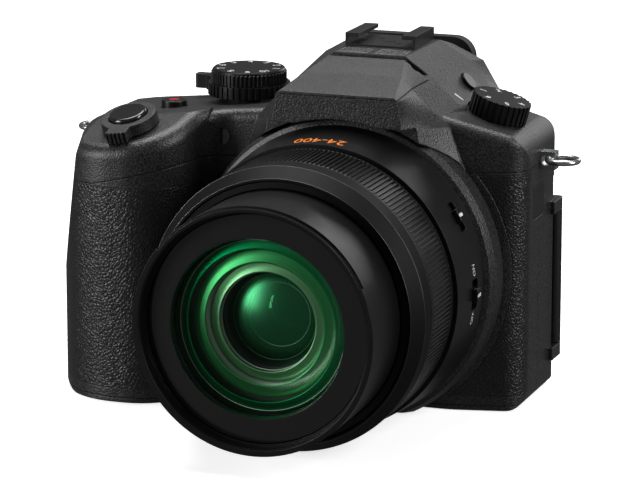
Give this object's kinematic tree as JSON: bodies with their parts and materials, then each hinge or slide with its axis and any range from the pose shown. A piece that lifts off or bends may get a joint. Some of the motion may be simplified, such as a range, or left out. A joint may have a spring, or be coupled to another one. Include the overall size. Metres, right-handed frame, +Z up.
{
  "type": "bridge camera",
  "caption": "Bridge camera with a telescoping zoom lens, deep hand grip, viewfinder hump with pop-up flash, hinged screen, dials and buttons.",
  "frame": {"origin": "base plane under the lens axis at the body's mid depth", "axes": "+Z up, lens looks along -Y, +X to the connector side"},
  "size_m": [0.1506, 0.1308, 0.0991],
  "materials": {
    "black_shell": "fine pebbled black plastic",
    "barrel_black": "satin black plastic barrel",
    "grip_rubber": "leather-grained rubber",
    "gloss_black": "glossy black plastic",
    "red_plastic": "glossy red button",
    "lens_glass": "coated optical glass",
    "clear_glass": "clear window",
    "screen_black": "dark display glass",
    "steel": "plated steel",
    "dark_steel": "black painted metal",
    "alloy": "bare alloy",
    "board_green": "solder-masked board",
    "soft_rubber": "soft black rubber"
  },
  "bodies": {
    "camera": {"front_cover": "black_shell", "top_cover": "black_shell", "rear_cover": "black_shell", "base_cover": "black_shell", "grip_skin": "grip_rubber", "side_skin": "grip_rubber", "thumb_rest": "grip_rubber", "fixed_barrel": "barrel_black", "trim_ring": "gloss_black", "rear_lens": "lens_glass", "zoom_motor": "steel", "flash_pin": "steel", "mic_grilles": "dark_steel", "hot_shoe": "dark_steel", "shoe_contacts": "steel", "af_lamp": "clear_glass", "strap_lugs": "steel", "eyepiece_frame": "black_shell", "chassis": "alloy", "battery": "black_shell", "main_board": "board_green", "sensor_unit": "dark_steel", "tripod_socket": "steel", "eyepiece_lens": "clear_glass", "eyecup": "soft_rubber", "cover_screws": "dark_steel"},
    "mid_group": {"mid_barrel": "barrel_black", "iris_unit": "dark_steel"},
    "front_group": {"front_barrel": "barrel_black", "front_bezel": "gloss_black", "front_lens": "lens_glass"},
    "cam": {"cam_tube": "alloy"},
    "ring": {"lens_ring": "barrel_black"},
    "switch_up": {"upper_lens_switch": "black_shell"},
    "switch_down": {"lower_lens_switch": "black_shell"},
    "shutter": {"shutter_button": "gloss_black"},
    "zoom": {"zoom_lever": "black_shell"},
    "mode": {"mode_dial": "black_shell"},
    "drive": {"drive_dial": "black_shell"},
    "power": {"power_lever": "black_shell"},
    "record": {"record_button": "red_plastic"},
    "flash": {"flash_head": "black_shell", "flash_lens": "clear_glass"},
    "flash_release": {"flash_button": "black_shell"},
    "diopter": {"diopter_dial": "black_shell"},
    "screen": {"screen_panel": "black_shell", "screen_glass": "screen_black", "screen_hinge": "dark_steel"},
    "thumb_dial": {"rear_dial": "black_shell"},
    "focus": {"focus_lever": "black_shell"},
    "af_lock": {"af_lock_button": "black_shell"},
    "play": {"play_button": "black_shell"},
    "pad": {"direction_pad": "black_shell"},
    "menu": {"menu_button": "gloss_black"},
    "bottom_door": {"battery_door": "black_shell"},
    "card_door": {"side_door": "soft_rubber"},
    "mic_door": {"mic_cover": "soft_rubber"},
    "ring_left": {"strap_ring_left": "steel"},
    "ring_right": {"strap_ring_right": "steel"},
    "latch": {"door_latch": "black_shell"}
  },
  "joints": [
    {"name": "lens_zoom", "type": "slide", "parent": "camera", "child": "front_group", "axis": [0, -1, 0], "range_m": [0, 0.058]},
    {"name": "mid_zoom", "type": "slide", "parent": "camera", "child": "mid_group", "axis": [0, -1, 0], "range_m": [0, 0.0281]},
    {"name": "cam_turn", "type": "hinge", "parent": "camera", "child": "cam", "pos_m": [0, -0.038, 0.0386], "axis": [0, -1, 0], "range_deg": [0, 60.2]},
    {"name": "lens_ring_turn", "type": "hinge", "parent": "camera", "child": "ring", "pos_m": [0, -0.055, 0.0386], "axis": [0, -1, 0], "continuous": true},
    {"name": "upper_switch_slide", "type": "hinge", "parent": "camera", "child": "switch_up", "pos_m": [0, -0.0335, 0.0386], "axis": [0, -1, 0], "range_deg": [-3, 3]},
    {"name": "lower_switch_slide", "type": "hinge", "parent": "camera", "child": "switch_down", "pos_m": [0, -0.0335, 0.0386], "axis": [0, -1, 0], "range_deg": [-3, 3]},
    {"name": "shutter_press", "type": "slide", "parent": "camera", "child": "shutter", "axis": [0.1199, 0.2899, -0.9495], "range_m": [0, 0.0011], "stiffness_N_per_m": 400, "springref_m": -0.001},
    {"name": "zoom_turn", "type": "hinge", "parent": "camera", "child": "zoom", "pos_m": [-0.0605, -0.029, 0.0756], "axis": [-0.1199, -0.2899, 0.9495], "range_deg": [-22, 22], "stiffness_Nm_per_rad": 0.02},
    {"name": "mode_turn", "type": "hinge", "parent": "camera", "child": "mode", "pos_m": [-0.0387, 0.005, 0.084], "axis": [0, 0, 1], "continuous": true},
    {"name": "drive_turn", "type": "hinge", "parent": "camera", "child": "drive", "pos_m": [0.035, 0.0025, 0.07898], "axis": [0.2753, 0, 0.9614], "range_deg": [-60, 90]},
    {"name": "power_turn", "type": "hinge", "parent": "camera", "child": "power", "pos_m": [-0.0512, 0.0156, 0.08], "axis": [0, 0, 1], "range_deg": [0, 35]},
    {"name": "record_press", "type": "slide", "parent": "camera", "child": "record", "axis": [0, 0, -1], "range_m": [0, 0.0006], "stiffness_N_per_m": 400, "springref_m": -0.001},
    {"name": "flash_open", "type": "hinge", "parent": "camera", "child": "flash", "pos_m": [0, -0.0063, 0.0924], "axis": [-1, 0, 0], "range_deg": [0, 60]},
    {"name": "flash_button_press", "type": "slide", "parent": "camera", "child": "flash_release", "axis": [-0.7507, 0, -0.6606], "range_m": [0, 0.0006], "stiffness_N_per_m": 400, "springref_m": -0.001},
    {"name": "diopter_turn", "type": "hinge", "parent": "camera", "child": "diopter", "pos_m": [0.0228, 0.028, 0.079], "axis": [0, 1, 0], "range_deg": [-120, 120]},
    {"name": "screen_open", "type": "hinge", "parent": "camera", "child": "screen", "pos_m": [0.047, 0.0202, 0.031], "axis": [0, 0, -1], "range_deg": [0, 180]},
    {"name": "rear_dial_turn", "type": "hinge", "parent": "camera", "child": "thumb_dial", "pos_m": [-0.064, 0.0155, 0.071], "axis": [0, 0, 1], "continuous": true},
    {"name": "focus_turn", "type": "hinge", "parent": "camera", "child": "focus", "pos_m": [-0.045, 0.022, 0.056], "axis": [0, 1, 0], "range_deg": [-30, 30]},
    {"name": "af_lock_press", "type": "slide", "parent": "camera", "child": "af_lock", "axis": [0, -1, 0], "range_m": [0, 0.0006], "stiffness_N_per_m": 400, "springref_m": -0.001},
    {"name": "play_press", "type": "slide", "parent": "camera", "child": "play", "axis": [0, -1, 0], "range_m": [0, 0.0006], "stiffness_N_per_m": 400, "springref_m": -0.001},
    {"name": "pad_rock", "type": "hinge", "parent": "camera", "child": "pad", "pos_m": [-0.048, 0.02, 0.027], "axis": [1, 0, 0], "range_deg": [-2.5, 2.5], "stiffness_Nm_per_rad": 0.2},
    {"name": "menu_press", "type": "slide", "parent": "camera", "child": "menu", "axis": [0, -1, 0], "range_m": [0, 0.0006], "stiffness_N_per_m": 400, "springref_m": -0.001},
    {"name": "battery_door_open", "type": "hinge", "parent": "camera", "child": "bottom_door", "pos_m": [-0.051, -0.01, 0.0009], "axis": [0, -1, 0], "range_deg": [0, 95]},
    {"name": "latch_slide", "type": "slide", "parent": "camera", "child": "latch", "axis": [0, 1, 0], "range_m": [0, 0.0025]},
    {"name": "card_door_open", "type": "hinge", "parent": "camera", "child": "card_door", "pos_m": [-0.0814, 0.0044, 0.033], "axis": [0, 0, 1], "range_deg": [0, 100]},
    {"name": "mic_cover_open", "type": "hinge", "parent": "camera", "child": "mic_door", "pos_m": [0.0475, 0.001, 0.052], "axis": [0, 1, 0], "range_deg": [0, 100]},
    {"name": "right_ring_swing", "type": "hinge", "parent": "camera", "child": "ring_right", "pos_m": [0.0493, 0.004, 0.0676], "axis": [0, 1, 0], "range_deg": [-75, 75]},
    {"name": "left_ring_swing", "type": "hinge", "parent": "camera", "child": "ring_left", "pos_m": [-0.0829, 0.008, 0.067], "axis": [0, 1, 0], "range_deg": [-75, 75]}
  ],
  "couplings": [
    {"joint": "mid_zoom", "follows": "lens_zoom", "ratio": 0.48276},
    {"joint": "cam_turn", "follows": "lens_zoom", "rad_per_m": 18.055}
  ]
}
